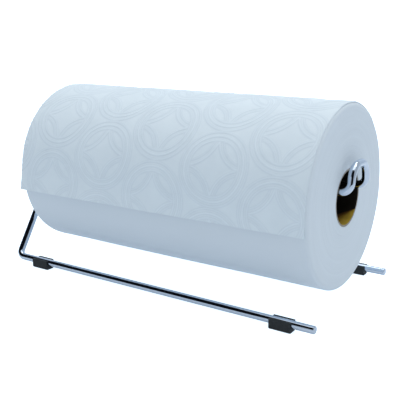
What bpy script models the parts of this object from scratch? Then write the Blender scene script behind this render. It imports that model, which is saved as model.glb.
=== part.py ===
"""Paper towel holder: one bent spring wire on four clip-on feet, carrying a roll.

Units are metres and +Z is up. The origin is on the table, under the middle of
the holder. X runs along the roll: the wire's legs rise at -X, and the arch that
keeps the roll on its arms stands at +X. The towel's free end hangs at -Y.
"""

import math

import bmesh
import bpy
from mathutils import Matrix, Vector

# The gap left between two pieces that touch on the real object.
GAP = 0.0003

# The wire: overall length along X, and the wire's own radius.
LENGTH = 0.285
WIRE_RADIUS = 0.00285
WIRE_SIDES_RESOLUTION = 6
WIRE_END_CHAMFER = 0.0005
RAIL_BEND = 0.006
SHOULDER_BEND = 0.008
BEND_STEP = math.radians(15)

# The base: two rails along X, at +Y and -Y, on their feet.
RAIL_Y = 0.0675
RAIL_HEIGHT = 0.0056
RAIL_SETBACK = 0.0014

# The roll: its axis lies along X over the middle of the base.
AXIS_HEIGHT = 0.0808
ROLL_LENGTH = 0.2588
ROLL_RADIUS = 0.068
ROLL_EDGE = 0.003
ROLL_TO_ARCH = 0.0047
CORE_BORE = 0.020
CORE_WALL = 0.0013
ROLL_STEPS = 72

# The arms: two runs of the wire inside the core, seen along X from its axis.
ARM_Y = 0.0152
ARM_RISE = 0.0072

# The arch: the wire turned up past the roll's end, and closed over the core.
ARCH_HALF_WIDTH = 0.0115
ARCH_RISE = 0.026
ARCH_FOOT_BEND = 0.007
ARCH_TOP_BEND = 0.011

# The feet: channels that clip onto the rails from below.
FOOT_LENGTH = 0.0164
FOOT_WIDTH = 0.0086
FOOT_LIP = 0.0023
FOOT_CORNER = 0.0010
FOOT_EDGE = 0.0003
FOOT_LIP_ANGLE = math.radians(35)
FOOT_LIP_FLARE = 0.0003
FOOT_FROM_LEGS = 0.0287
FOOT_FROM_RAIL_ENDS = 0.0248

# The free sheet: the last towel, from its perforation behind the roll, over
# the top, to the edge that hangs in front.
SHEET_LENGTH = 0.230
SHEET_THICKNESS = 0.0005
SHEET_LEAVES_ROLL_AT = math.radians(174)
SHEET_HANGS = 0.021
SHEET_SHIFT = -0.0015
SHEET_STEP = math.radians(5)

# Places worked out from the sizes above.
WIRE_PLANE = LENGTH / 2 - WIRE_RADIUS
RAIL_END = LENGTH / 2 - RAIL_SETBACK
ROLL_RIGHT = WIRE_PLANE - WIRE_RADIUS - ROLL_TO_ARCH
ROLL_MIDDLE = ROLL_RIGHT - ROLL_LENGTH / 2
CORE_RADIUS = CORE_BORE + CORE_WALL


def clear_scene():
    for obj in list(bpy.data.objects):
        bpy.data.objects.remove(obj, do_unlink=True)


def new_collection(name):
    collection = bpy.data.collections.new(name)
    bpy.context.scene.collection.children.link(collection)
    return collection


def new_material(name, colour, roughness, metallic=0.0):
    material = bpy.data.materials.new(name)
    material.use_nodes = True
    shader = material.node_tree.nodes["Principled BSDF"]
    shader.inputs["Base Color"].default_value = (*colour, 1.0)
    shader.inputs["Roughness"].default_value = roughness
    shader.inputs["Metallic"].default_value = metallic
    return material


def add_object(name, data, material, collection):
    obj = bpy.data.objects.new(name, data)
    if not data.materials:
        data.materials.append(material)
    collection.objects.link(obj)
    return obj


def add_weld(obj):
    weld = obj.modifiers.new("weld", "WELD")
    weld.merge_threshold = 0.00001


def add_bevel(obj, width, segments=1):
    bevel = obj.modifiers.new("bevel", "BEVEL")
    bevel.width = width
    bevel.segments = segments
    bevel.limit_method = "ANGLE"
    bevel.angle_limit = math.radians(50)


def arc_points(centre, radius, start, end, step):
    """Points on a circle in a plane, from one angle to another, both included."""
    count = max(1, math.ceil(abs(end - start) / step - 1e-6))
    angles = [start + (end - start) * i / count for i in range(count + 1)]
    return [
        (centre[0] + radius * math.cos(a), centre[1] + radius * math.sin(a))
        for a in angles
    ]


def bend_points(before, corner, after, radius):
    """The arc that rounds one corner of a wire, from tangent point to tangent point."""
    towards_before = (before - corner).normalized()
    towards_after = (after - corner).normalized()
    half_angle = towards_before.angle(towards_after) / 2
    bisector = (towards_before + towards_after).normalized()
    centre = corner + bisector * radius / math.sin(half_angle)
    start = corner + towards_before * radius / math.tan(half_angle)
    outward = (start - centre).normalized()
    turn = math.pi - 2 * half_angle
    return [
        centre + outward * x - towards_before * y
        for x, y in arc_points((0, 0), radius, 0, turn, BEND_STEP)
    ]


def bent_path(corners, bends):
    """The wire's centreline: straight runs between corners, each corner rounded."""
    corners = [Vector(c) for c in corners]
    path = [corners[0]]
    for i, radius in enumerate(bends, start=1):
        path += bend_points(corners[i - 1], corners[i], corners[i + 1], radius)
    path.append(corners[-1])
    return path


def wire_path():
    """One half of the wire at -Y, from its rail's cut end to the arch's top, and
    the same half mirrored back to the other cut end."""
    arm_height = AXIS_HEIGHT + ARM_RISE
    arch_height = AXIS_HEIGHT + ARCH_RISE
    half = [
        (RAIL_END, -RAIL_Y, RAIL_HEIGHT),
        (-WIRE_PLANE, -RAIL_Y, RAIL_HEIGHT),
        (-WIRE_PLANE, -ARM_Y, arm_height),
        (WIRE_PLANE, -ARM_Y, arm_height),
        (WIRE_PLANE, -ARCH_HALF_WIDTH, arch_height),
    ]
    bends = [RAIL_BEND, SHOULDER_BEND, ARCH_FOOT_BEND, ARCH_TOP_BEND]
    other_half = [(x, -y, z) for x, y, z in reversed(half)]
    return bent_path(half + other_half, bends + bends[::-1])


def make_wire_frame(material, collection):
    curve = bpy.data.curves.new("wire_frame", "CURVE")
    curve.dimensions = "3D"
    curve.bevel_depth = WIRE_RADIUS
    curve.bevel_resolution = WIRE_SIDES_RESOLUTION
    curve.use_fill_caps = True
    path = wire_path()
    spline = curve.splines.new("POLY")
    spline.points.add(len(path) - 1)
    for point, place in zip(spline.points, path):
        point.co = (*place, 1.0)
    spline.use_smooth = True
    obj = add_object("wire_frame", curve, material, collection)
    add_weld(obj)
    add_bevel(obj, WIRE_END_CHAMFER)
    return obj


def extruded_outline(name, points, thickness):
    """A flat outline in the curve's own XY plane, thickened evenly along its Z."""
    curve = bpy.data.curves.new(name, "CURVE")
    curve.dimensions = "2D"
    curve.fill_mode = "BOTH"
    curve.extrude = thickness / 2
    spline = curve.splines.new("POLY")
    spline.points.add(len(points) - 1)
    for point, (x, y) in zip(spline.points, points):
        point.co = (x, y, 0, 1.0)
    spline.use_cyclic_u = True
    return curve


def section_placed_at(x, y, z):
    """Stands a section up: its X becomes +Y, its Y becomes +Z, its depth lies on X."""
    turn = Matrix(((0, 0, 1, 0), (1, 0, 0, 0), (0, 1, 0, 0), (0, 0, 0, 1)))
    return Matrix.Translation((x, y, z)) @ turn


def foot_outline():
    """The clip's section about the wire's centre: a box with cut lower corners, and
    a round slot whose lips reach past the wire's widest line and flare open."""
    side = FOOT_WIDTH / 2
    slot = WIRE_RADIUS + GAP
    outside = [
        (-side, FOOT_LIP),
        (-side, FOOT_CORNER - RAIL_HEIGHT),
        (FOOT_CORNER - side, -RAIL_HEIGHT),
        (side - FOOT_CORNER, -RAIL_HEIGHT),
        (side, FOOT_CORNER - RAIL_HEIGHT),
        (side, FOOT_LIP),
    ]
    lip = slot * math.cos(FOOT_LIP_ANGLE) + FOOT_LIP_FLARE
    slot_arc = arc_points(
        (0, 0), slot, FOOT_LIP_ANGLE, -math.pi - FOOT_LIP_ANGLE, BEND_STEP
    )
    return outside + [(lip, FOOT_LIP)] + slot_arc + [(-lip, FOOT_LIP)]


def make_feet(material, collection):
    curve = extruded_outline("foot", foot_outline(), FOOT_LENGTH)
    ends = {
        "left": -WIRE_PLANE + FOOT_FROM_LEGS,
        "right": RAIL_END - FOOT_FROM_RAIL_ENDS,
    }
    sides = {"front": -RAIL_Y, "rear": RAIL_Y}
    for side, y in sides.items():
        for end, x in ends.items():
            foot = add_object(f"{side}_{end}_foot", curve, material, collection)
            foot.matrix_world = section_placed_at(x, y, RAIL_HEIGHT)
            add_weld(foot)
            add_bevel(foot, FOOT_EDGE)


def turned_ring(name, profile):
    """A closed profile of (radius, height) points turned about the local Z axis."""
    mesh = bpy.data.meshes.new(name)
    bm = bmesh.new()
    ring = [bm.verts.new((radius, 0, height)) for radius, height in profile]
    for here, there in zip(ring, ring[1:] + ring[:1]):
        bm.edges.new((here, there))
    bm.to_mesh(mesh)
    bm.free()
    return mesh


def add_screw(obj):
    screw = obj.modifiers.new("screw", "SCREW")
    screw.axis = "Z"
    screw.steps = ROLL_STEPS
    screw.render_steps = ROLL_STEPS
    screw.use_merge_vertices = True
    screw.merge_threshold = 0.00001
    screw.use_smooth_shade = True


def place_on_roll_axis(obj, axle):
    """Lays a piece turned about Z along X, centred in the roll, turning with it."""
    obj.parent = axle
    obj.matrix_parent_inverse = Matrix()
    obj.rotation_euler = (0, math.radians(90), 0)


def make_axle(collection):
    """The roll's centre, on the line that it turns about."""
    axle = bpy.data.objects.new("roll_axis", None)
    axle.location = (ROLL_MIDDLE, 0, AXIS_HEIGHT)
    collection.objects.link(axle)
    return axle


def make_cardboard_core(axle, material, collection):
    half = ROLL_LENGTH / 2
    profile = [
        (CORE_RADIUS, half),
        (CORE_RADIUS, -half),
        (CORE_BORE, -half),
        (CORE_BORE, half),
    ]
    mesh = turned_ring("cardboard_core", profile)
    obj = add_object("cardboard_core", mesh, material, collection)
    add_screw(obj)
    place_on_roll_axis(obj, axle)
    return obj


def make_paper_roll(axle, material, collection):
    half = ROLL_LENGTH / 2
    inside = CORE_RADIUS + GAP
    corner = (ROLL_RADIUS - ROLL_EDGE, half - ROLL_EDGE)
    upper = arc_points(corner, ROLL_EDGE, math.pi / 2, 0, math.radians(22.5))
    lower = [(radius, -height) for radius, height in reversed(upper)]
    profile = [(inside, half)] + upper + lower + [(inside, -half)]
    mesh = turned_ring("paper_roll", profile)
    obj = add_object("paper_roll", mesh, material, collection)
    add_screw(obj)
    place_on_roll_axis(obj, axle)
    return obj


def sheet_outline():
    """The free sheet's section about the roll's axis: round from the perforation to
    where it leaves the roll, then straight along the tangent to its free edge."""
    inside = ROLL_RADIUS + GAP
    outside = inside + SHEET_THICKNESS
    middle = (inside + outside) / 2
    end = SHEET_LEAVES_ROLL_AT
    start = end - (SHEET_LENGTH - SHEET_HANGS) / middle
    down = Vector((-math.sin(end), math.cos(end))) * SHEET_HANGS
    outer_arc = arc_points((0, 0), outside, start, end, SHEET_STEP)
    inner_arc = arc_points((0, 0), inside, end, start, SHEET_STEP)
    free_edge = [tuple(Vector(p) + down) for p in (outer_arc[-1], inner_arc[0])]
    return outer_arc + free_edge + inner_arc


def make_free_sheet(axle, material, collection):
    curve = extruded_outline("free_sheet", sheet_outline(), ROLL_LENGTH)
    obj = add_object("free_sheet", curve, material, collection)
    obj.parent = axle
    obj.matrix_parent_inverse = Matrix()
    obj.matrix_basis = section_placed_at(SHEET_SHIFT, 0, 0)
    return obj


def main():
    clear_scene()
    holder = new_collection("paper_towel_holder")
    chrome = new_material("chromed_wire", (0.75, 0.77, 0.80), 0.08, metallic=1.0)
    black = new_material("black_rubber", (0.022, 0.026, 0.030), 0.65)
    card = new_material("grey_brown_card", (0.36, 0.25, 0.13), 0.9)
    paper = new_material("white_tissue", (0.82, 0.85, 0.88), 0.9)
    make_wire_frame(chrome, holder)
    make_feet(black, holder)
    axle = make_axle(holder)
    make_cardboard_core(axle, card, holder)
    make_paper_roll(axle, paper, holder)
    make_free_sheet(axle, paper, holder)


main()
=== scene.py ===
"""The looks of the paper towel holder: chromed wire, rubber clips and a towel roll.

Units are metres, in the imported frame: X along the roll, the free end at -Y, +Z up.
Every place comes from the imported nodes' boxes, and the sizes named below.
"""

import math

import bpy
import numpy as np
from mathutils import Matrix, Vector, noise


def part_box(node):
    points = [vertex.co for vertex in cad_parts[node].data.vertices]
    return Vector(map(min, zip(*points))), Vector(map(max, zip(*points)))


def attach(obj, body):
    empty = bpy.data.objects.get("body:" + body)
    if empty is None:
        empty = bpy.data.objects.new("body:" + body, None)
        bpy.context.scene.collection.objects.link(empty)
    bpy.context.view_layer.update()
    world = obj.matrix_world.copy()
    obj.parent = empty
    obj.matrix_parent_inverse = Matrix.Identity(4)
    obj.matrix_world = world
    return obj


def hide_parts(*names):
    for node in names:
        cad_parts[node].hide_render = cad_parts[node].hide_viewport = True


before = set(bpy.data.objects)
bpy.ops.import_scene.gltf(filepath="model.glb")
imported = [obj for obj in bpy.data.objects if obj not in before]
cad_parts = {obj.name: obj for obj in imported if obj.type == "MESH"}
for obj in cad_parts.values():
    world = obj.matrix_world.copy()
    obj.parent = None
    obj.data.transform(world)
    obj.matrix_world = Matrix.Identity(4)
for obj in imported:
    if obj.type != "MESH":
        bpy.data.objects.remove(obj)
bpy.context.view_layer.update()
wire_low, wire_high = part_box("wire_frame")
core_low, core_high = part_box("cardboard_core")
roll_low, roll_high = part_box("paper_roll")
sheet_low, sheet_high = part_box("free_sheet")

# The wire, as it is bent: its radius, the bends' radii from the rail to the arch, and
# where the rails end, the arms lie and the arch's legs stand.
WIRE_RADIUS = 0.00285
WIRE_SIDES = 48
WIRE_CHAMFER = 0.00045
RAIL_SETBACK = 0.0014
RAIL_BEND = 0.006
SHOULDER_BEND = 0.008
ARCH_FOOT_BEND = 0.007
ARCH_TOP_BEND = 0.011
BEND_STEP = math.radians(4)
ARM_Y = 0.0152
ARM_RISE = 0.0072
ARCH_HALF_WIDTH = 0.0115

# The clips that the wire stands on.
CLIP_SLOT = WIRE_RADIUS + 0.00006
CLIP_SLOT_STEP = math.radians(6)
CLIP_LIP_ANGLE = math.radians(35)
CLIP_LIP_FLARE = 0.0003
CLIP_CORNER = 0.0010
CLIP_ROUNDING = 0.00022

# The card core, with its helical seam, its rough faces, and where the plies in its wall
# meet.
CORE_WALL = 0.0013
CORE_TURNS = 96
CORE_ROWS = 130
CORE_ROUGHNESS = 0.00006
CORE_SEAM_PITCH = 0.095
CORE_SEAM_HEIGHT = 0.00022
CORE_SEAM_WIDTH = 0.0011
PLY_SHARES = (0.33, 0.66)
PLY_RELIEF = 0.00008

# A face of the core belongs to a cut end if its normal lies along X by more than this.
CUT_FACE = 0.7

# The light that falls into the core's mouths, as pale card: how far in it reaches, how
# low it starts as a share of the bore's radius, how fast it grows below that, and what
# is left of it elsewhere.
PALE_PATCH_DEPTH = 0.020
PALE_PATCH_START = 0.58
PALE_PATCH_GROWTH = 2.5
PALE_PATCH_LEAST = 0.01

# The wound paper. Its right edge is rounded more than its left one, which reaches as far
# as the free towel does. The free towel lies UNDER_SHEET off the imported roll's side, and
# UNDER_SHEET_FIT off this one's.
CORE_FIT = 0.00015
ROLL_EDGE = 0.003
LEFT_EDGE = 0.0012
EDGE_STEP = math.radians(9)
UNDER_SHEET = 0.0003
UNDER_SHEET_FIT = 0.0001
ROLL_TURNS = 216
ROLL_SIDES = 40
ROLL_SOFTNESS = 0.00022
FACE_RELIEF = 0.00011
FACE_RINGS = 84
WEB_THICKNESS = 0.0006
WEB_STARTS_PAST_EDGE = math.radians(17)
SEAM_ANGLE = math.radians(0.3)

# The noise on the turned pieces, in cells per metre along the axis or outwards.
CORE_GRAIN = 60
PLY_GRAIN = 2600
ROLL_GRAIN = 22
LAYER_GRAIN = 1250
BAND_GRAIN = 210

# The free towel, from its perforation behind the roll to its edge in front. It leaves the
# roll at the end angle where the length that hangs is SHEET_HANGS.
SHEET_LENGTH = 0.230
SHEET_THICKNESS = 0.0005
SHEET_CELL = 0.00082
SHEET_COARSE = 4
SHEET_END_ANGLE = math.radians(174)
SHEET_HANGS = 0.021
STAND_OFF_LEFT = 0.0046
STAND_OFF_RIGHT = 0.0011

# The waves of its hanging edge: (height, length, phase).
EDGE_WAVES = ((0.00035, 0.083, 0.6), (0.00022, 0.047, 2.1))

# The embossing: rings in staggered columns, each with four petals inside. Lines are
# (radius, strength), and a petal is an arc about a point outside its ring.
RING_PITCH = 0.056
RING_COLUMN_PITCH = 0.0504
RING_LINES = ((0.0272, 0.75), (0.0238, 1.0), (0.0204, 0.8))
RING_INSIDE = RING_LINES[-1][0]
RING_INSIDE_BLUR = 0.0004
PETAL_LINES = ((0.0250, 0.9), (0.0218, 0.65))
PETAL_OFFSET = 0.035
RINGS_START_ACROSS = 0.0065
RINGS_START_ALONG = -0.0047
LINE_WIDTH = 0.00082
EMBOSS_HEIGHT = 0.00040
RELIEF = "relief"

# The perforation: cuts across the web, with short uncut ties between them.
TIE_PITCH = 0.0095
TIE_WIDTH = 0.0016
CUT_DEPTH = 0.00035
CUT_WIDTH = 0.0007

# Places worked out from the frame and the sizes above.
ROLL_CENTRE = (roll_low + roll_high) / 2
ROLL_RADIUS = (roll_high.z - roll_low.z) / 2
SHEET_INSIDE = ROLL_RADIUS + UNDER_SHEET
SHEET_MIDDLE = SHEET_INSIDE + SHEET_THICKNESS / 2
SHEET_WIDTH = sheet_high.x - sheet_low.x
PERFORATION_ANGLE = SHEET_END_ANGLE - (SHEET_LENGTH - SHEET_HANGS) / SHEET_MIDDLE

# The camera: its place, its turn and downward pitch, and its lens in millimetres.
CAMERA_PLACE = (0.3159, -0.4687, 0.2035)
CAMERA_YAW = math.radians(33.58)
CAMERA_PITCH = math.radians(14.19)
CAMERA_LENS = 63.5

# The pale floor's own light, which keeps the shadows on it faint, and the shares of that
# light that matt things and mirror images don't get.
FLOOR_GLOW = 1.05
GLOW_COLOUR = (0.76, 0.88, 1.0, 1.0)
BOUNCE_HELD_BACK = 0.78
MIRROR_HELD_BACK = 0.87

# The floor: level as far as FLOOR_LEVEL to the sides and the front, and curved up into a
# backdrop that stands FLOOR_REACH behind the holder.
FLOOR_REACH = 2.2
FLOOR_RISE = 0.9
FLOOR_LEVEL = 14.0
FLOOR_STEP = math.radians(6)
BACKDROP_HEIGHT = 3.0

# The light that comes from all sides.
WORLD_COLOUR = (0.86, 0.93, 1.0, 1.0)
WORLD_STRENGTH = 0.545


# ---------------------------------------------------------------- meshes


def new_piece(name, points, faces, material, smooth=True):
    """A mesh object from points and faces, in one material."""
    mesh = bpy.data.meshes.new(name)
    mesh.from_pydata([tuple(p) for p in points], [], faces)
    mesh.update()
    if smooth:
        mesh.shade_smooth()
    mesh.materials.append(material)
    piece = bpy.data.objects.new(name, mesh)
    bpy.context.scene.collection.objects.link(piece)
    return piece


def grid_faces(rows, columns, close_rows=False, close_columns=False):
    """The quads of a grid of points stored row by row."""
    faces = []
    for i in range(rows if close_rows else rows - 1):
        for j in range(columns if close_columns else columns - 1):
            right = (j + 1) % columns
            above = (i + 1) % rows
            faces.append(
                (
                    i * columns + j,
                    i * columns + right,
                    above * columns + right,
                    above * columns + j,
                )
            )
    return faces


def keep_sharp(piece, degrees):
    """Shades edges sharp where the faces turn by more than an angle."""
    piece.data.set_sharp_from_angle(angle=math.radians(degrees))


def arc(radius, start, end, step):
    """Points about the origin from one angle to another, both included."""
    count = max(1, math.ceil(abs(end - start) / step - 1e-6))
    angles = [start + (end - start) * i / count for i in range(count + 1)]
    return [(radius * math.cos(a), radius * math.sin(a)) for a in angles]


# ---------------------------------------------------------------- materials


class Look:
    """A material's node tree, with short calls for the nodes that it uses. Most looks
    put a mottled roughness in place of the even one that they start with."""

    def __init__(self, name, roughness, metallic=0.0):
        self.material = bpy.data.materials.new(name)
        self.material.use_nodes = True
        self.tree = self.material.node_tree
        self.shader = self.tree.nodes["Principled BSDF"]
        self.set("Roughness", roughness)
        self.set("Metallic", metallic)

    def set(self, socket, value):
        """A uniform value on one of the shader's sockets."""
        self.shader.inputs[socket].default_value = value

    def node(self, kind, **settings):
        """A new node of a kind, with its settings."""
        made = self.tree.nodes.new(kind)
        for key, value in settings.items():
            setattr(made, key, value)
        return made

    def join(self, output, node, socket):
        """A link from an output to a node's socket."""
        self.tree.links.new(output, node.inputs[socket])

    def place(self, scale=(1, 1, 1)):
        """The object's own coordinates, stretched by a scale."""
        source = self.node("ShaderNodeTexCoord").outputs["Object"]
        mapping = self.node("ShaderNodeMapping")
        mapping.inputs["Scale"].default_value = scale
        self.join(source, mapping, "Vector")
        return mapping.outputs["Vector"]

    def along_surface(self, scale=(1, 1, 1)):
        """The mesh's UV map, in metres along and around, stretched by a scale."""
        source = self.node("ShaderNodeUVMap", uv_map="surface").outputs["UV"]
        mapping = self.node("ShaderNodeMapping")
        mapping.inputs["Scale"].default_value = scale
        self.join(source, mapping, "Vector")
        return mapping.outputs["Vector"]

    def noise(self, vector, scale=1.0, detail=3.0, roughness=0.5):
        """Fractal noise from 0 to 1 at places given by a vector."""
        made = self.node("ShaderNodeTexNoise")
        made.inputs["Scale"].default_value = scale
        made.inputs["Detail"].default_value = detail
        made.inputs["Roughness"].default_value = roughness
        self.join(vector, made, "Vector")
        return made.outputs["Fac"]

    def ramp(self, value, *stops):
        """Colours at places from 0 to 1, smoothly between them."""
        made = self.node("ShaderNodeValToRGB")
        elements = made.color_ramp.elements
        while len(elements) < len(stops):
            elements.new(0.5)
        for element, (place, colour) in zip(elements, stops):
            element.position = place
            element.color = (*colour, 1.0)
        self.join(value, made, "Fac")
        return made.outputs["Color"]

    def spread(self, value, low, high):
        """A value from 0 to 1, mapped to a range."""
        made = self.node("ShaderNodeMapRange")
        made.inputs["To Min"].default_value = low
        made.inputs["To Max"].default_value = high
        self.join(value, made, "Value")
        return made.outputs["Result"]

    def math(self, operation, first, second):
        """Arithmetic on two values, each a number or a node's output."""
        made = self.node("ShaderNodeMath", operation=operation)
        for index, value in enumerate((first, second)):
            if isinstance(value, (int, float)):
                made.inputs[index].default_value = value
            else:
                self.tree.links.new(value, made.inputs[index])
        return made.outputs["Value"]

    def product(self, first, second):
        """Two colours multiplied, channel by channel."""
        made = self.node("ShaderNodeVectorMath", operation="MULTIPLY")
        self.tree.links.new(first, made.inputs[0])
        self.tree.links.new(second, made.inputs[1])
        return made.outputs["Vector"]

    def bump(self, height, distance, strength, below=None):
        """A normal bent by a height, over another bump where one lies below."""
        made = self.node("ShaderNodeBump")
        made.inputs["Distance"].default_value = distance
        made.inputs["Strength"].default_value = strength
        self.join(height, made, "Height")
        if below is not None:
            self.join(below, made, "Normal")
        return made.outputs["Normal"]

    def colour(self, output):
        self.join(output, self.shader, "Base Color")

    def roughness(self, output):
        self.join(output, self.shader, "Roughness")

    def normal(self, output):
        self.join(output, self.shader, "Normal")


def towel_look():
    """Soft white tissue: cloudy fibres, fine crepe lines and a matt, fuzzy face, with a
    painted highlight along the tops of the embossed lines and painted shade along their
    flanks."""
    look = Look("towel_tissue", 0.92)
    look.set("Sheen Weight", 0.12)
    look.set("Sheen Roughness", 0.6)
    look.set("Specular IOR Level", 0.25)
    clouds = look.noise(look.place(), scale=55, detail=4, roughness=0.6)
    tissue = look.ramp(clouds, (0.30, (0.735, 0.815, 0.868)), (0.72, (0.770, 0.850, 0.900)))
    relief = look.node("ShaderNodeAttribute", attribute_name=RELIEF).outputs["Fac"]
    # Painted highlight along the tops of the raised lines and painted shade along their
    # flanks, set by the relief's height.
    embossed = look.ramp(
        relief,
        (0.00, (0.990, 0.990, 0.990)),
        (0.30, (0.915, 0.922, 0.935)),
        (1.00, (1.040, 1.040, 1.040)),
    )
    look.colour(look.product(tissue, embossed))
    fibres = look.noise(look.place(), scale=1700, detail=4, roughness=0.7)
    crepe = look.noise(look.place((180, 2600, 2600)), detail=2)
    fine = look.bump(fibres, distance=0.00008, strength=0.35)
    look.normal(look.bump(crepe, distance=0.00005, strength=0.25, below=fine))
    look.roughness(look.spread(fibres, low=0.86, high=0.98))
    return look.material


def ring_noise(look, place, per_radius, per_turn, detail):
    """Noise in rings about the roll's axis: fine outwards and long round the turn."""
    split = look.node("ShaderNodeSeparateXYZ")
    look.join(place, split, "Vector")
    flat = look.node("ShaderNodeCombineXYZ")
    look.join(split.outputs["Y"], flat, "Y")
    look.join(split.outputs["Z"], flat, "Z")
    length = look.node("ShaderNodeVectorMath", operation="LENGTH")
    look.join(flat.outputs["Vector"], length, "Vector")
    rings = look.node("ShaderNodeCombineXYZ")
    look.join(look.math("MULTIPLY", length.outputs["Value"], per_radius), rings, "X")
    for axis in ("Y", "Z"):
        look.join(look.math("MULTIPLY", split.outputs[axis], per_turn), rings, axis)
    return look.noise(rings.outputs["Vector"], detail=detail)


def roll_look():
    """The wound roll: smooth tissue outside, and its layers' edges on the ends."""
    look = Look("towel_layers", 0.92)
    look.set("Sheen Weight", 0.10)
    look.set("Sheen Roughness", 0.6)
    look.set("Specular IOR Level", 0.25)
    place = look.place()
    bands = ring_noise(look, place, per_radius=420, per_turn=9, detail=2)
    layers = ring_noise(look, place, per_radius=2600, per_turn=40, detail=3)
    most = look.math("MULTIPLY", bands, 0.7)
    rest = look.math("MULTIPLY", layers, 0.3)
    tone = look.math("ADD", most, rest)
    look.colour(look.ramp(tone, (0.30, (0.682, 0.748, 0.804)), (0.70, (0.716, 0.784, 0.840))))
    fibres = look.noise(place, scale=1500, detail=4, roughness=0.7)
    fine = look.bump(fibres, distance=0.00008, strength=0.35)
    look.normal(look.bump(layers, distance=0.00012, strength=0.45, below=fine))
    look.roughness(look.spread(fibres, low=0.86, high=0.98))
    return look.material


def card_look():
    """Raw brown card: mottled pulp with long fibres. Its colour also holds the shade
    inside the tube, and the light on a patch at the bottom of each mouth."""
    look = Look("core_card", 0.85)
    look.set("Specular IOR Level", 0.25)
    pulp = look.noise(look.place(), scale=260, detail=5, roughness=0.65)
    mottled = look.ramp(
        pulp,
        (0.25, (0.490, 0.330, 0.034)),
        (0.50, (0.610, 0.420, 0.050)),
        (0.78, (0.730, 0.520, 0.080)),
    )
    split = look.node("ShaderNodeSeparateXYZ")
    look.join(look.place(), split, "Vector")
    from_middle = look.math("ABSOLUTE", split.outputs["X"], 0)
    mouth = (core_high.x - core_low.x) / 2
    depth = look.math("SUBTRACT", mouth, from_middle)
    inner = (core_high.z - core_low.z) / 2 - CORE_WALL
    lowness = look.math("DIVIDE", split.outputs["Z"], -inner)
    past_start = look.math("SUBTRACT", lowness, PALE_PATCH_START)
    grown = look.math("MULTIPLY", past_start, PALE_PATCH_GROWTH)
    patch = look.math("MAXIMUM", grown, PALE_PATCH_LEAST)
    patch_depth = look.math("MULTIPLY", patch, PALE_PATCH_DEPTH)
    shade = look.ramp(
        look.math("DIVIDE", depth, patch_depth),
        (0.0, (1.0, 1.0, 1.0)),
        (0.35, (0.66, 0.60, 0.50)),
        (0.65, (0.20, 0.12, 0.06)),
        (1.0, (0.010, 0.009, 0.012)),
    )
    look.colour(look.product(mottled, shade))
    strands = look.noise(look.place((500, 1800, 1800)), detail=4, roughness=0.7)
    look.normal(look.bump(strands, distance=0.0001, strength=0.5))
    look.roughness(look.spread(pulp, low=0.75, high=0.95))
    return look.material


def cut_card_look():
    """The core's cut edge: greyer plies, with fibres torn up by the blade."""
    look = Look("core_cut_edge", 0.9)
    look.set("Specular IOR Level", 0.2)
    plies = look.noise(look.place((300, 1400, 1400)), detail=4, roughness=0.7)
    look.colour(
        look.ramp(plies, (0.30, (0.270, 0.245, 0.215)), (0.72, (0.400, 0.375, 0.345)))
    )
    look.normal(look.bump(plies, distance=0.0001, strength=0.5))
    look.roughness(look.spread(plies, low=0.82, high=0.96))
    return look.material


def chrome_look():
    """Bright plating over drawn wire: faint lines along it and a soft haze."""
    look = Look("chrome_plating", 0.05, metallic=1.0)
    tint = look.noise(look.along_surface((25, 25, 1)), detail=2)
    look.colour(look.ramp(tint, (0.3, (0.59, 0.67, 0.78)), (0.7, (0.66, 0.74, 0.85))))
    lines = look.noise(look.along_surface((40, 2400, 1)), detail=3, roughness=0.6)
    look.normal(look.bump(lines, distance=0.00001, strength=0.12))
    haze = look.noise(look.along_surface((160, 320, 1)), detail=3)
    look.roughness(look.spread(haze, low=0.02, high=0.09))
    return look.material


def rubber_look():
    """Moulded black rubber: a fine grain, and a little dust that greys it."""
    look = Look("black_rubber", 0.6)
    look.set("Specular IOR Level", 0.35)
    dust = look.noise(look.place(), scale=420, detail=4, roughness=0.6)
    look.colour(
        look.ramp(dust, (0.30, (0.014, 0.017, 0.019)), (0.75, (0.026, 0.031, 0.034)))
    )
    grain = look.noise(look.place(), scale=3800, detail=2)
    look.normal(look.bump(grain, distance=0.00006, strength=0.35))
    look.roughness(look.spread(dust, low=0.50, high=0.72))
    return look.material


def stage_look(name, colour, glow=0.0):
    """A painted surface, uneven as a roller leaves it. The camera sees all of its glow,
    and matt things and mirror images get a part."""
    look = Look(name, 0.9)
    look.set("Specular IOR Level", 0.1)
    look.set("Emission Color", GLOW_COLOUR)
    ray = look.node("ShaderNodeLightPath").outputs
    bounced = look.math("MULTIPLY", ray["Is Diffuse Ray"], -BOUNCE_HELD_BACK * glow)
    mirrored = look.math("MULTIPLY", ray["Is Glossy Ray"], -MIRROR_HELD_BACK * glow)
    held_back = look.math("ADD", bounced, mirrored)
    look.join(look.math("ADD", held_back, glow), look.shader, "Emission Strength")
    mottle = look.noise(look.place(), scale=3.0, detail=3)
    darker = tuple(c * 0.985 for c in colour)
    look.colour(look.ramp(mottle, (0.3, darker), (0.7, colour)))
    return look.material


# ---------------------------------------------------------------- the wire


def bend(before, corner, after, radius):
    """The arc that rounds one corner of the wire, from tangent to tangent."""
    towards_before = (before - corner).normalized()
    towards_after = (after - corner).normalized()
    half_angle = towards_before.angle(towards_after) / 2
    bisector = (towards_before + towards_after).normalized()
    centre = corner + bisector * radius / math.sin(half_angle)
    start = corner + towards_before * radius / math.tan(half_angle)
    outward = (start - centre).normalized()
    turn = math.pi - 2 * half_angle
    return [
        centre + outward * x - towards_before * y
        for x, y in arc(radius, 0, turn, BEND_STEP)
    ]


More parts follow.
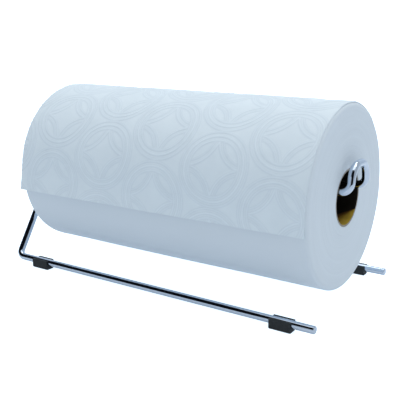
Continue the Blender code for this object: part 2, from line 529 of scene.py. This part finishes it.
def wire_path():
    """The wire's centreline, from one rail's cut end over the arch to the other's."""
    rail_end = wire_high.x - RAIL_SETBACK
    plane = wire_high.x - WIRE_RADIUS
    rail_y = wire_high.y - WIRE_RADIUS
    rail_height = wire_low.z + WIRE_RADIUS
    arm_height = ROLL_CENTRE.z + ARM_RISE
    half = [
        (rail_end, -rail_y, rail_height),
        (-plane, -rail_y, rail_height),
        (-plane, -ARM_Y, arm_height),
        (plane, -ARM_Y, arm_height),
        (plane, -ARCH_HALF_WIDTH, wire_high.z - WIRE_RADIUS),
    ]
    half = [Vector(p) for p in half]
    bends = [RAIL_BEND, SHOULDER_BEND, ARCH_FOOT_BEND, ARCH_TOP_BEND]
    corners = half + [Vector((p.x, -p.y, p.z)) for p in reversed(half)]
    bends = bends + bends[::-1]
    path = [corners[0]]
    for i, radius in enumerate(bends, start=1):
        path += bend(corners[i - 1], corners[i], corners[i + 1], radius)
    path.append(corners[-1])
    return path


def shoulders_added(path, distance):
    """A path with a point a short way in from each end, where the chamfer starts."""
    first = path[0] + (path[1] - path[0]).normalized() * distance
    last = path[-1] + (path[-2] - path[-1]).normalized() * distance
    return [path[0], first] + path[1:-1] + [last, path[-1]]


def make_wire(material):
    """A round bar swept along the path without twist, its cut ends chamfered."""
    path = shoulders_added(wire_path(), WIRE_CHAMFER)
    radii = [WIRE_RADIUS] * len(path)
    radii[0] = radii[-1] = WIRE_RADIUS - WIRE_CHAMFER
    circle = arc(1.0, 0, math.tau, math.tau / WIRE_SIDES)[:-1]
    tangent = (path[1] - path[0]).normalized()
    side = tangent.cross(Vector((0, 0, 1))).normalized()
    points = []
    lengths = [0.0]
    for i, centre in enumerate(path):
        ahead = path[min(i + 1, len(path) - 1)] - centre
        behind = centre - path[max(i - 1, 0)]
        here = (ahead.normalized() + behind.normalized()).normalized()
        side = tangent.rotation_difference(here) @ side
        tangent = here
        up = here.cross(side)
        lengths.append(lengths[-1] + ahead.length)
        points += [centre + (side * x + up * y) * radii[i] for x, y in circle]
    faces = grid_faces(len(path), WIRE_SIDES, close_columns=True)
    last = (len(path) - 1) * WIRE_SIDES
    faces.append(tuple(reversed(range(WIRE_SIDES))))
    faces.append(tuple(last + j for j in range(WIRE_SIDES)))
    piece = new_piece("chromed_wire", points, faces, material)
    around = WIRE_RADIUS * math.tau / WIRE_SIDES
    surface = piece.data.uv_layers.new(name="surface")
    for loop in piece.data.loops:
        ring, step = divmod(loop.vertex_index, WIRE_SIDES)
        surface.data[loop.index].uv = (lengths[ring], step * around)
    keep_sharp(piece, degrees=30)
    return piece


# ---------------------------------------------------------------- the clips


def clip_outline(width, height, wire_height):
    """A clip's section about the wire: a block with cut lower corners, open above
    in a round slot whose lips hold the wire."""
    side = width / 2
    lip_top = height - wire_height
    lip = CLIP_SLOT * math.cos(CLIP_LIP_ANGLE) + CLIP_LIP_FLARE
    slot = arc(CLIP_SLOT, CLIP_LIP_ANGLE, -math.pi - CLIP_LIP_ANGLE, CLIP_SLOT_STEP)
    block = [
        (-side, lip_top),
        (-side, CLIP_CORNER - wire_height),
        (CLIP_CORNER - side, -wire_height),
        (side - CLIP_CORNER, -wire_height),
        (side, CLIP_CORNER - wire_height),
        (side, lip_top),
    ]
    return block + [(lip, lip_top)] + slot + [(-lip, lip_top)]


def make_clip(node, material):
    """One rubber clip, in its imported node's place, with moulded, rounded edges."""
    low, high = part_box(node)
    wire_height = wire_low.z + WIRE_RADIUS
    centre_y = (low.y + high.y) / 2
    outline = clip_outline(high.y - low.y, high.z, wire_height)
    count = len(outline)
    points = [
        (x, centre_y + y, wire_height + z) for x in (low.x, high.x) for y, z in outline
    ]
    walls = [(i, (i + 1) % count, count + (i + 1) % count, count + i) for i in range(count)]
    ends = [tuple(reversed(range(count))), tuple(range(count, 2 * count))]
    clip = new_piece(node.replace("foot", "clip"), points, walls + ends, material)
    keep_sharp(clip, degrees=30)
    rounding = clip.modifiers.new("rounding", "BEVEL")
    rounding.width = CLIP_ROUNDING
    rounding.segments = 3
    rounding.limit_method = "ANGLE"
    rounding.angle_limit = math.radians(30)
    rounding.harden_normals = True
    return clip


# ---------------------------------------------------------------- the roll


def set_on_axis(piece):
    """Puts a piece whose points are measured from the roll's centre in its place."""
    piece.location = ROLL_CENTRE
    return piece


def turned_noise(lengthwise, angle, spread, shift=0.0):
    """Smooth noise from -1 to 1 that closes on itself round a turned piece. A shift
    gives another draw of it."""
    across = math.cos(angle) * spread + shift
    return noise.noise(Vector((lengthwise, across, math.sin(angle) * spread)))


def core_profile(inner, outer, half):
    """The tube's section as (place along X, radius): its bore, its right cut end, its
    outer side and its left cut end."""
    bore = [(-half + 2 * half * i / CORE_ROWS, inner) for i in range(CORE_ROWS + 1)]
    plies = [inner + share * CORE_WALL for share in PLY_SHARES]
    right = [(half, radius) for radius in plies + [outer]]
    left = [(-half, radius) for radius in [outer] + plies[::-1]]
    return bore + right + left


def seam_height(x, angle):
    """How far the card's overlap stands out of the bore along its helix."""
    turn = (x / CORE_SEAM_PITCH - angle / math.tau) % 1.0
    across = min(turn, 1 - turn) * CORE_SEAM_PITCH
    return CORE_SEAM_HEIGHT * math.exp(-((across / CORE_SEAM_WIDTH) ** 2))


def make_core(material, cut_material):
    """The card tube: one helical seam inside, and plies that show on its cut ends."""
    outer = (core_high.z - core_low.z) / 2
    inner = outer - CORE_WALL
    half = (core_high.x - core_low.x) / 2
    profile = core_profile(inner, outer, half)
    points = []
    for x, radius in profile:
        for j in range(CORE_TURNS):
            angle = math.tau * j / CORE_TURNS
            out = radius
            along = x
            if radius == inner:
                out += seam_height(x, angle)
            if radius < outer:
                out += CORE_ROUGHNESS * turned_noise(x * CORE_GRAIN, angle, spread=4)
            if abs(x) == half:
                ply = turned_noise(radius * PLY_GRAIN, angle, spread=3)
                along -= math.copysign(PLY_RELIEF * (1 + ply), x)
            points.append((along, out * math.cos(angle), out * math.sin(angle)))
    faces = grid_faces(len(profile), CORE_TURNS, close_rows=True, close_columns=True)
    faces = [face[::-1] for face in faces]
    piece = new_piece("core_tube", points, faces, material)
    piece.data.materials.append(cut_material)
    for face in piece.data.polygons:
        if abs(face.normal.x) > CUT_FACE:
            face.material_index = 1
    keep_sharp(piece, degrees=40)
    return set_on_axis(piece)


def winding_radius(angle, radius):
    """The wound paper's own radius: level under the free towel, and one layer more
    where the same web goes on below the perforation."""
    covered = SHEET_END_ANGLE + WEB_STARTS_PAST_EDGE - PERFORATION_ANGLE
    share = max(0.0, (angle - PERFORATION_ANGLE - covered) / (math.tau - covered))
    return radius + WEB_THICKNESS * min(1.0, share)


def face_relief(radius, angle):
    """How far a layer's edge stands out of the roll's end, or lies in it."""
    layers = turned_noise(radius * LAYER_GRAIN, angle, spread=1.3)
    bands = turned_noise(radius * BAND_GRAIN, angle, spread=0.7, shift=9)
    return FACE_RELIEF * (0.9 * layers + 1.1 * bands)


def roll_end(inner, outer, reach, edge):
    """One end's section: its flat face, then its rounded edge, as (radius, distance
    from the roll's centre, which part)."""
    ring = (outer - edge - inner) / FACE_RINGS
    face = [(inner + ring * i, reach, "face") for i in range(FACE_RINGS + 1)]
    corner = [
        (outer - edge + x, reach - edge + y, "edge")
        for y, x in arc(edge, EDGE_STEP, math.pi / 2, EDGE_STEP)
    ]
    return face + corner


def roll_profile(inner, outer):
    """The wound paper's section as (radius, place along X, which part)."""
    right_reach = roll_high.x - ROLL_CENTRE.x
    left_reach = ROLL_CENTRE.x - sheet_low.x
    right = roll_end(inner, outer, right_reach, ROLL_EDGE)
    left = roll_end(inner, outer, left_reach, LEFT_EDGE)
    start = right_reach - ROLL_EDGE
    span = start + left_reach - LEFT_EDGE
    side = [(outer, start - span * i / ROLL_SIDES, "side") for i in range(1, ROLL_SIDES)]
    return right + side + [(radius, -x, part) for radius, x, part in reversed(left)]


def make_roll(material):
    """The wound paper, turned about the axis, with a step at the perforation."""
    inner = (core_high.z - core_low.z) / 2 + CORE_FIT
    outer = SHEET_INSIDE - UNDER_SHEET_FIT
    profile = roll_profile(inner, outer)
    step = (math.tau - SEAM_ANGLE) / (ROLL_TURNS - 1)
    angles = [PERFORATION_ANGLE + step * j for j in range(ROLL_TURNS)]
    points = []
    for radius, x, part in profile:
        share = (radius - inner) / (outer - inner)
        for angle in angles:
            out = inner + share * (winding_radius(angle, outer) - inner)
            along = x
            if part == "face":
                along += math.copysign(face_relief(radius, angle), x)
            else:
                soft = turned_noise(x * ROLL_GRAIN, angle, spread=1.6)
                out += ROLL_SOFTNESS * (soft - 0.5)
            points.append((along, out * math.cos(angle), out * math.sin(angle)))
    faces = grid_faces(len(profile), ROLL_TURNS, close_rows=True, close_columns=True)
    faces = [face[::-1] for face in faces]
    return set_on_axis(new_piece("towel_roll", points, faces, material))


# ---------------------------------------------------------------- the free towel


def ridge(distance):
    """A soft raised line: 1 along it, and falling away on both sides."""
    return np.exp(-((distance / LINE_WIDTH) ** 2))


def ring_pattern(across, along):
    """One ring about a centre, with four petals cut by arcs from outside it."""
    radius = np.hypot(across, along)
    height = np.zeros_like(radius)
    for line, strength in RING_LINES:
        height = np.maximum(height, strength * ridge(radius - line))
    inside = 1 / (1 + np.exp((radius - RING_INSIDE + LINE_WIDTH) / RING_INSIDE_BLUR))
    for quarter in range(4):
        angle = math.radians(45 + 90 * quarter)
        far = np.hypot(
            across - PETAL_OFFSET * math.cos(angle),
            along - PETAL_OFFSET * math.sin(angle),
        )
        for line, strength in PETAL_LINES:
            height = np.maximum(height, strength * ridge(far - line) * inside)
    return height


def emboss(across, along):
    """The towel's raised pattern, in metres, at places on the flat sheet. Every other
    column of rings starts half a pitch on."""
    height = np.zeros_like(across)
    columns = math.ceil(np.abs(across).max() / RING_COLUMN_PITCH) + 1
    rows = math.ceil(along.max() / RING_PITCH) + 1
    for column in range(-columns, columns + 1):
        shift = 0.5 * (column % 2)
        for row in range(-1, rows + 1):
            centre_across = column * RING_COLUMN_PITCH + RINGS_START_ACROSS
            centre_along = (row + shift) * RING_PITCH + RINGS_START_ALONG
            pattern = ring_pattern(across - centre_across, along - centre_along)
            height = np.maximum(height, pattern)
    return EMBOSS_HEIGHT * height


def perforation_cut(across, along):
    """How deep the perforation's cuts lie, near the edge that the towel tears at."""
    tie = np.abs(np.mod(across, TIE_PITCH) - TIE_PITCH / 2) < TIE_WIDTH / 2
    near = np.clip(1 - along / CUT_WIDTH, 0, 1)
    return np.where(tie, 0.0, CUT_DEPTH * near)


def edge_drop(across):
    """How far the towel's side follows the roll's rounded right edge down."""
    place = across + (sheet_low.x + sheet_high.x) / 2
    past = np.clip(place - (roll_high.x - ROLL_EDGE), 0, ROLL_EDGE)
    return ROLL_EDGE - np.sqrt(ROLL_EDGE**2 - past**2)


def stand_off(across):
    """How far the hanging edge stands off the roll, from its left to its right."""
    share = across / SHEET_WIDTH + 0.5
    ease = share * share * (3 - 2 * share)
    off = STAND_OFF_LEFT + (STAND_OFF_RIGHT - STAND_OFF_LEFT) * ease
    for height, length, phase in EDGE_WAVES:
        off += height * np.sin(across * math.tau / length + phase)
    return off


def towel_surface(across, along, lift):
    """Places on the towel, lifted off its inner face: round the roll, then hanging
    straight along the tangent for the length that gives the edge its stand-off."""
    hanging = np.sqrt(2 * SHEET_INSIDE * stand_off(across))
    wound = np.minimum(along, SHEET_LENGTH - hanging)
    angle = PERFORATION_ANGLE + wound / SHEET_MIDDLE
    straight = along - wound
    out = SHEET_INSIDE + lift - edge_drop(across)
    y = out * np.cos(angle) - straight * np.sin(angle)
    z = out * np.sin(angle) + straight * np.cos(angle)
    return np.stack([across, y, z], axis=-1)


def sheet_grid(columns, rows):
    """Places on the flat sheet, as two grids: across it and along it."""
    across = np.linspace(-SHEET_WIDTH / 2, SHEET_WIDTH / 2, columns + 1)
    along = np.linspace(0, SHEET_LENGTH, rows + 1)
    return np.meshgrid(across, along)


def sheet_rim(columns, rows, back):
    """The faces that close a fine front to a coarse back along all four edges: for each,
    how many back cells it has, its front and back points, and which way it turns."""
    fine_across = columns * SHEET_COARSE
    fine_along = rows * SHEET_COARSE
    front_row = fine_across + 1
    back_row = columns + 1
    sides = [
        (columns, lambda i: i, lambda k: k, False),
        (columns, lambda i: fine_along * front_row + i, lambda k: rows * back_row + k, True),
        (rows, lambda i: i * front_row, lambda k: k * back_row, True),
        (rows, lambda i: i * front_row + fine_across, lambda k: k * back_row + columns, False),
    ]
    faces = []
    for count, front_at, back_at, flip in sides:
        for k in range(count):
            fine = [front_at(k * SHEET_COARSE + i) for i in range(SHEET_COARSE + 1)]
            face = fine + [back + back_at(k + 1), back + back_at(k)]
            faces.append(tuple(face[::-1] if flip else face))
    return faces


def make_sheet(material):
    """The free towel: a finely embossed front on a plain back, closed at its edges."""
    columns = round(SHEET_WIDTH / SHEET_CELL / SHEET_COARSE)
    rows = round(SHEET_LENGTH / SHEET_CELL / SHEET_COARSE)
    across, along = sheet_grid(columns * SHEET_COARSE, rows * SHEET_COARSE)
    pattern = emboss(across, along)
    lift = SHEET_THICKNESS + pattern - perforation_cut(across, along)
    front = towel_surface(across, along, lift).reshape(-1, 3)
    across, along = sheet_grid(columns, rows)
    back = towel_surface(across, along, 0 * across).reshape(-1, 3)
    points = np.concatenate([front, back])
    faces = grid_faces(rows * SHEET_COARSE + 1, columns * SHEET_COARSE + 1)
    faces = [face[::-1] for face in faces]
    under = grid_faces(rows + 1, columns + 1)
    faces += [tuple(len(front) + i for i in face) for face in under]
    faces += sheet_rim(columns, rows, len(front))
    sheet = new_piece("free_towel", points, faces, material)
    keep_sharp(sheet, degrees=50)
    # The relief's height, which the tissue's painted highlight and shade follow.
    relief = np.zeros(len(points), dtype=np.float32)
    relief[: len(front)] = pattern.ravel() / EMBOSS_HEIGHT
    sheet.data.attributes.new(RELIEF, "FLOAT", "POINT").data.foreach_set("value", relief)
    sheet.location = ((sheet_low.x + sheet_high.x) / 2, ROLL_CENTRE.y, ROLL_CENTRE.z)
    return sheet


# ---------------------------------------------------------------- the stage


def make_floor(material):
    """A pale table that curves up into a backdrop far behind the holder, and runs on
    level the other ways."""
    section = [(-FLOOR_LEVEL, 0.0)]
    section += [
        (FLOOR_REACH - FLOOR_RISE + x, FLOOR_RISE + y)
        for x, y in arc(FLOOR_RISE, -math.pi / 2, 0, FLOOR_STEP)
    ]
    section.append((FLOOR_REACH, BACKDROP_HEIGHT))
    turn = Matrix.Rotation(CAMERA_YAW, 3, "Z")
    points = []
    for y, z in section:
        points += [turn @ Vector((x, y, z)) for x in (-FLOOR_LEVEL, FLOOR_LEVEL)]
    floor = new_piece("pale_floor", points, grid_faces(len(section), 2), material)


def make_card(name, material, centre, facing, size):
    """A studio card that only shows in reflections."""
    x, y = size[0] / 2, size[1] / 2
    points = [(-x, -y, 0), (x, -y, 0), (x, y, 0), (-x, y, 0)]
    card = new_piece(name, points, [(0, 1, 2, 3)], material, smooth=False)
    card.location = centre
    direction = Vector(facing) - Vector(centre)
    card.rotation_euler = direction.to_track_quat("Z", "Y").to_euler()
    card.visible_camera = False
    card.visible_diffuse = False
    card.visible_shadow = False


def make_light(name, centre, aim, size, power, colour):
    """A soft rectangular light, its power in watts."""
    light = bpy.data.lights.new(name, "AREA")
    light.shape = "RECTANGLE"
    light.size, light.size_y = size
    light.energy = power
    light.color = colour
    lamp = bpy.data.objects.new(name, light)
    lamp.location = centre
    direction = Vector(aim) - Vector(centre)
    lamp.rotation_euler = direction.to_track_quat("-Z", "Y").to_euler()
    bpy.context.scene.collection.objects.link(lamp)


def make_world():
    """An even, cool light from all sides."""
    world = bpy.data.worlds.new("studio")
    world.use_nodes = True
    background = world.node_tree.nodes["Background"]
    background.inputs["Color"].default_value = WORLD_COLOUR
    background.inputs["Strength"].default_value = WORLD_STRENGTH
    bpy.context.scene.world = world


def make_camera():
    """The photograph's view."""
    data = bpy.data.cameras.new("camera")
    data.lens = CAMERA_LENS
    camera = bpy.data.objects.new("camera", data)
    camera.location = CAMERA_PLACE
    camera.rotation_euler = (math.pi / 2 - CAMERA_PITCH, 0, CAMERA_YAW)
    bpy.context.scene.collection.objects.link(camera)
    bpy.context.scene.camera = camera


# ---------------------------------------------------------------- the whole


def stand_for(piece, node, body):
    """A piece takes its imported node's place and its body."""
    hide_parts(node)
    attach(piece, body)


def make_holder():
    """The wire and its four clips, which don't move."""
    stand_for(make_wire(chrome_look()), "wire_frame", "frame")
    rubber = rubber_look()
    for node in ("front_left_foot", "front_right_foot", "rear_left_foot", "rear_right_foot"):
        stand_for(make_clip(node, rubber), node, "frame")


def make_towels():
    """The core, the wound towels and the free towel, which turn together."""
    core = make_core(card_look(), cut_card_look())
    stand_for(core, "cardboard_core", "roll")
    roll = make_roll(roll_look())
    stand_for(roll, "paper_roll", "roll")
    sheet = make_sheet(towel_look())
    stand_for(sheet, "free_sheet", "roll")


def make_flags():
    """Black cards round the camera, which draw the dark lines in the chrome."""
    black = stage_look("black_flag", (0.003, 0.003, 0.005))
    middle = (0, 0, 0.05)
    arch = (0.14, 0, 0.10)
    make_card("flag_left", black, centre=(-0.90, -0.72, 0.80), facing=middle, size=(1.75, 1.9))
    make_card("flag_over", black, centre=(0.20, -0.95, 0.95), facing=middle, size=(1.2, 0.9))
    make_card("flag_right", black, centre=(0.88, -0.92, 0.60), facing=arch, size=(1.4, 1.2))


def make_lights():
    """A broad light from above, a small one on the roll's end, and one that whitens the
    backdrop behind the holder."""
    cool = (0.97, 0.99, 1.0)
    warm = (1.0, 0.98, 0.95)
    make_light(
        "overhead", centre=(0.1, -0.1, 1.5), aim=(0, 0, 0),
        size=(1.6, 1.6), power=6.6, colour=cool,
    )
    make_light(
        "side", centre=(0.40, 0.12, 0.95), aim=(0.13, 0, 0.06),
        size=(0.3, 0.3), power=1.0, colour=warm,
    )
    behind = Matrix.Rotation(CAMERA_YAW, 3, "Z")
    make_light(
        "backdrop", centre=behind @ Vector((0, 0.7, 1.7)), aim=behind @ Vector((0, 2.0, 0.5)),
        size=(1.6, 0.8), power=12.0, colour=cool,
    )


def make_stage():
    """All that isn't the object: the floor, the cards, the lights and the world."""
    make_floor(stage_look("pale_floor", (0.68, 0.70, 0.73), FLOOR_GLOW))
    make_flags()
    make_lights()
    make_world()
    bpy.context.scene.view_settings.view_transform = "Standard"


make_camera()
make_holder()
make_towels()
make_stage()
